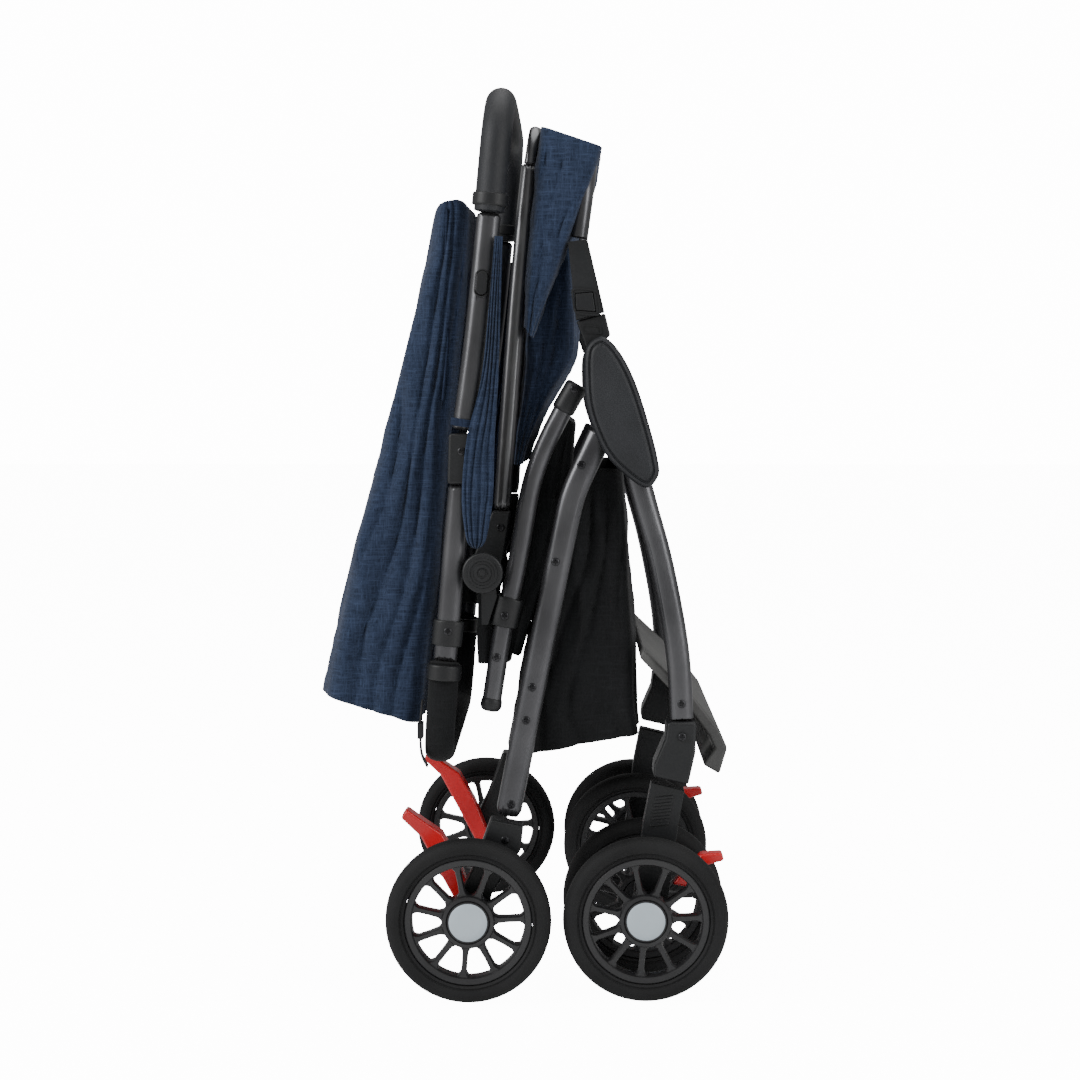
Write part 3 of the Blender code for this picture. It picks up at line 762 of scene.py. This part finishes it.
canopyShape = {"left": ((-0.1270, 0.7975), (-0.1345, 0.7890), (-0.1416, 0.7423), (-0.1480, 0.7200),
                        (-0.1688, 0.6410), (-0.1941, 0.5408), (-0.2200, 0.4400), (-0.2488, 0.3040)),
               "right": ((-0.1120, 0.8000), (-0.1020, 0.7860), (-0.1085, 0.7000), (-0.1190, 0.6000),
                         (-0.1270, 0.5300), (-0.1350, 0.4300), (-0.1430, 0.3600), (-0.1515, 0.2720)),
               "levels": 110, "across": 34, "deep": 60, "half": 0.1785, "corner": 0.016, "belly": 0.003,
               "seed": 3.1, "foldSize": 15, "upright": 0.30, "fold": 0.0062, "hemWave": 0.009, "tucks": 3.2,
               "tuckDepth": 0.009, "capTop": True, "capBottom": False}
hood = clothShell("canopyHood", canopyShape, denim, "canopy")
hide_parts("canopy_hood")

backrestShape = {"left": ((-0.0270, 0.8685), (-0.0305, 0.8400), (-0.0400, 0.7200), (-0.0445, 0.6400),
                          (-0.0560, 0.5330)),
                 "right": ((0.0000, 0.8620), (0.0200, 0.8440), (0.0040, 0.7900), (0.0015, 0.7300),
                           (0.0035, 0.6690), (-0.0005, 0.6380), (-0.0225, 0.6000), (-0.0400, 0.5610),
                           (-0.0490, 0.5330)),
                 "levels": 90, "across": 20, "deep": 56, "half": 0.1600, "corner": 0.010, "belly": 0.002,
                 "seed": 8.4, "foldSize": 22, "upright": 0.3, "fold": 0.0045, "hemWave": 0.004,
                 "tucks": 2.6, "tuckDepth": 0.007, "capTop": True, "capBottom": True}
backrest = clothShell("backrestCloth", backrestShape, denim, "backrest")
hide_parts("backrest_cloth")

drapeShape = {"left": ((-0.0290, 0.8690), (-0.0320, 0.8200), (-0.0370, 0.7700), (-0.0420, 0.7200),
                       (-0.0450, 0.6700)),
              "right": ((0.0310, 0.8490), (0.0205, 0.8180), (0.0094, 0.7891), (-0.0130, 0.7300),
                        (-0.0370, 0.6600)),
              "levels": 70, "across": 26, "deep": 60, "half": 0.2040, "corner": 0.009, "belly": 0.0,
              "seed": 6.2, "foldSize": 24, "upright": 0.35, "fold": 0.0040, "hemWave": 0.004, "tucks": 2.4,
              "tuckDepth": 0.006, "capTop": True, "capBottom": False}
drape = clothShell("bumperDrape", drapeShape, denim, "bumper")

basketShape = {"left": ((0.0080, 0.5310), (-0.0150, 0.4400), (-0.0440, 0.3300), (-0.0600, 0.2330)),
               "right": ((0.0530, 0.5310), (0.0580, 0.4500), (0.0640, 0.3600), (0.0660, 0.3000),
                         (0.0700, 0.2620)),
               "levels": 70, "across": 36, "deep": 50, "half": 0.1680, "corner": 0.012, "belly": 0.0,
               "seed": 5.7, "foldSize": 19, "upright": 0.3, "fold": 0.0055, "hemWave": 0.004, "tucks": 3.4,
               "tuckDepth": 0.008, "capTop": False, "capBottom": True}
basketCloth = clothShell("basketCloth", basketShape, blackCloth, None)
bakeModifiers(basketCloth)
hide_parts("basket")
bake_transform(basketCloth)

slingShape = {"left": ((-0.0940, 0.4100), (-0.0945, 0.3700), (-0.0940, 0.3310)),
              "right": ((-0.0820, 0.4100), (-0.0815, 0.3700), (-0.0830, 0.3310)),
              "levels": 30, "across": 6, "deep": 50, "half": 0.1550, "corner": 0.006, "belly": 0.002,
              "seed": 1.9, "foldSize": 20, "upright": 0.6, "fold": 0.0015, "hemWave": 0.0, "tucks": 0,
              "tuckDepth": 0.0, "capTop": True, "capBottom": True}
sling = clothShell("seatSling", slingShape, blackCloth, "seat_frame")
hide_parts("seat_sling")

bagShape = {"left": ((-0.0090, 0.5860), (-0.0385, 0.5100), (-0.0545, 0.4211), (-0.0700, 0.3450)),
            "right": ((0.0060, 0.5750), (-0.0040, 0.5000), (-0.0230, 0.4300), (-0.0520, 0.3380)),
            "levels": 60, "across": 16, "deep": 50, "half": 0.1560, "corner": 0.007, "belly": 0.0,
            "seed": 11.3, "foldSize": 20, "upright": 0.3, "fold": 0.0030, "hemWave": 0.003, "tucks": 1.6,
            "tuckDepth": 0.005, "capTop": True, "capBottom": True}
seatCloth = clothShell("seatCloth", bagShape, blackCloth, "seat_frame")
print("cloth shells ready")

# gathered strip beside the handle, hanging in narrow pleats
stripShape = {"spine": ((-0.0700, 0.7600), (-0.0740, 0.6900), (-0.0790, 0.6200), (-0.0880, 0.5600),
                        (-0.0915, 0.5000), (-0.0928, 0.4540)),
              "halves": (0.0040, 0.0058, 0.0085, 0.0140, 0.0150, 0.0080), "pleats": 4.5, "depth": 0.0022,
              "y": 0.2235, "thick": 0.0022, "columns": 32}


def gatheredStrip(side, s):
    shape, columns = stripShape, stripShape["columns"]
    spine = smoothLine(shape["spine"], 16)
    widths = smoothLine([(h, 0) for h in shape["halves"]], 16)
    bm = bmesh.new()
    front, back = [], []
    for i, p in enumerate(spine):
        tangent = (spine[min(i + 1, len(spine) - 1)] - spine[max(i - 1, 0)]).normalized()
        across = Vector((tangent.y, -tangent.x))
        t = i / (len(spine) - 1)
        frontRow, backRow = [], []
        for k in range(columns + 1):
            v = k / (columns / 2) - 1
            half = widths[i].x * math.sqrt(max(0.02, 1 - max(0.0, (t - 0.93) / 0.07) ** 2))
            drift = 0.5 * noise.noise(Vector((v * 1.4, t * 5, 2.0 + s)))
            pleat = math.sin(math.pi * (shape["pleats"] * v + drift * 2.2))
            rise = (pleat * 0.75 + 0.5) * (1 - abs(v) ** 6) * min(1, 3 * t + 0.3)
            y = shape["y"] + shape["depth"] * rise
            spot = p + across * half * (v + 0.06 * drift)
            frontRow.append(bm.verts.new(at(spot.x, s * y, spot.y)))
            backRow.append(bm.verts.new(at(spot.x, s * (y - shape["thick"]), spot.y)))
        front.append(frontRow)
        back.append(backRow)
    for rows, flip in ((front, False), (back, True)):
        for low, high in zip(rows, rows[1:]):
            for k in range(columns):
                face = (low[k], low[k + 1], high[k + 1], high[k])
                bm.faces.new(face[::-1] if flip else face)
    for low, high in ((front[0], back[0]), (front[-1], back[-1])):
        for k in range(columns):
            bm.faces.new((low[k], low[k + 1], high[k + 1], high[k]))
    for k in (0, columns):
        for i in range(len(spine) - 1):
            bm.faces.new((front[i][k], front[i + 1][k], back[i + 1][k], back[i][k]))
    made = makePiece("gatheredStrip" + side.capitalize(), bm, denim, "handle", 80)


def tubeLoop(side, s):
    # the denim loop that holds the hood to the handle tube
    bm = bmesh.new()
    path = stretchOf(routes["handle"], 0.5712, 0.5815, s, 5)
    sweepInto(bm, path, acrossStroller, 0.0143, 0.0112, 32, 0.001)
    makePiece("hoodLoop" + side.capitalize(), bm, denimSeam, "handle", 50)


strapShape = {"line": ((-0.1480, 0.3000), (-0.1500, 0.2760), (-0.1492, 0.2480), (-0.1430, 0.2330)),
              "y": 0.2000, "half": 0.006, "halfThick": 0.0008, "buckle": (-0.1498, 0.2700),
              "buckleHalf": (0.0028, 0.0085), "buckleRings": ((-0.0085, 0.7), (-0.0075, 1), (0.0075, 1),
                                                              (0.0085, 0.7))}


def strap(side, s):
    # thin webbing with a buckle, hanging off the padded bow
    shape = strapShape
    line = smoothLine(shape["line"], 8)
    bm = bmesh.new()
    rings = []
    for i, p in enumerate(line):
        tangent = (line[min(i + 1, len(line) - 1)] - line[max(i - 1, 0)]).normalized()
        out = Vector((tangent.y, -tangent.x)) * shape["halfThick"]
        rings.append([at(p.x + out.x * u, s * (shape["y"] + shape["half"] * w), p.y + out.y * u)
                      for u, w in ((1, -1), (1, 1), (-1, 1), (-1, -1))])
    ringsToMesh(bm, rings)
    makePiece("bowStrap" + side.capitalize(), bm, webbing, "handle", 40)
    bm = bmesh.new()
    rings = []
    (x, z), (halfX, halfY) = shape["buckle"], shape["buckleHalf"]
    for dz, size in shape["buckleRings"]:
        rings.append([at(x + halfX * size * u, s * (shape["y"] + halfY * size * w), z + dz)
                      for u, w in ((1, -1), (1, 1), (-1, 1), (-1, -1))])
    ringsToMesh(bm, rings)
    makePiece("strapBuckle" + side.capitalize(), bm, plastic, "handle", 40)


for side, s in sides:
    gatheredStrip(side, s)
    tubeLoop(side, s)
    strap(side, s)


seamShape = {"line": ((-0.1225, 0.7900), (-0.1240, 0.7500), (-0.1235, 0.7119), (-0.1225, 0.6600),
                      (-0.1275, 0.6000)),
             "y": 0.1800, "half": (0.0016, 0.0020), "turns": 10}


def canopySeam(side, s):
    # the raised seam down the hood's side panel
    shape = seamShape
    bm = bmesh.new()
    path = [at(p.x, s * shape["y"], p.y) for p in smoothLine(shape["line"], 10)]
    sweepInto(bm, path, acrossStroller, *shape["half"], shape["turns"])
    makePiece("hoodSeam" + side.capitalize(), bm, denimSeam, "canopy", 50)


for side, s in sides:
    canopySeam(side, s)
print("cloth trim ready")

# floor, light and camera
studio = {"floor": 14.0, "cameraAt": (-0.00014, -2.303, 0.6162), "lens": 70.53, "pitch": 4.216, "yaw": 0.812,
          "sky": 0.42, "backdrop": 14.0, "floorGlow": 13.0, "floorZ": -0.0005}
floorMesh = bpy.data.meshes.new("floor")
reach = studio["floor"]
floorMesh.from_pydata([(-reach, -reach, 0), (reach, -reach, 0), (reach, reach, 0), (-reach, reach, 0)], [],
                      [(0, 1, 2, 3)])
floorLook = bpy.data.materials.new("paleFloor")
floorLook.use_nodes = True
floorShader = floorLook.node_tree.nodes["Principled BSDF"]
floorShader.inputs["Base Color"].default_value = (0.93, 0.93, 0.93, 1)
floorShader.inputs["Roughness"].default_value = 0.55
floorShader.inputs["Emission Color"].default_value = (1, 1, 1, 1)
floorRays = floorLook.node_tree.nodes.new("ShaderNodeLightPath")
floorLook.node_tree.links.new(mathNode(floorLook.node_tree, "MULTIPLY", floorRays.outputs["Is Camera Ray"],
                                       studio["floorGlow"]), floorShader.inputs["Emission Strength"])
floorMesh.materials.append(floorLook)
floor = bpy.data.objects.new("floor", floorMesh)
floor.location.z = studio["floorZ"]
bpy.context.scene.collection.objects.link(floor)

world = bpy.data.worlds.new("studio")
world.use_nodes = True
worldNodes, worldLinks = world.node_tree.nodes, world.node_tree.links
sky = worldNodes["Background"]
sky.inputs["Color"].default_value = (1, 1, 1, 1)
rays = worldNodes.new("ShaderNodeLightPath")
worldLinks.new(mathNode(world.node_tree, "MULTIPLY_ADD", rays.outputs["Is Camera Ray"], studio["backdrop"],
                        studio["sky"]), sky.inputs["Strength"])
bpy.context.scene.world = world


def softbox(name, place, aim, size, power):
    light = bpy.data.lights.new(name, "AREA")
    light.shape = "RECTANGLE"
    light.size, light.size_y = size
    light.energy = power
    made = bpy.data.objects.new(name, light)
    made.location = place
    made.rotation_euler = (Vector(aim) - Vector(place)).to_track_quat("-Z", "Y").to_euler()
    bpy.context.scene.collection.objects.link(made)


softbox("keyLight", (-2.3, -1.5, 1.9), (0, 0, 0.45), (1.0, 1.8), 85)
softbox("fillLight", (2.0, -1.8, 1.4), (0, 0, 0.45), (0.8, 2.0), 40)
softbox("topLight", (0.2, 0.2, 2.8), (0, 0, 0.3), (2.2, 2.2), 38)

cameraData = bpy.data.cameras.new("camera")
cameraData.lens = studio["lens"]
cameraData.sensor_width = 36
camera = bpy.data.objects.new("camera", cameraData)
camera.location = at(*studio["cameraAt"])
camera.rotation_euler = (math.radians(90 - studio["pitch"]), 0, math.radians(studio["yaw"]))
bpy.context.scene.collection.objects.link(camera)
bpy.context.scene.camera = camera
print("camera ready")
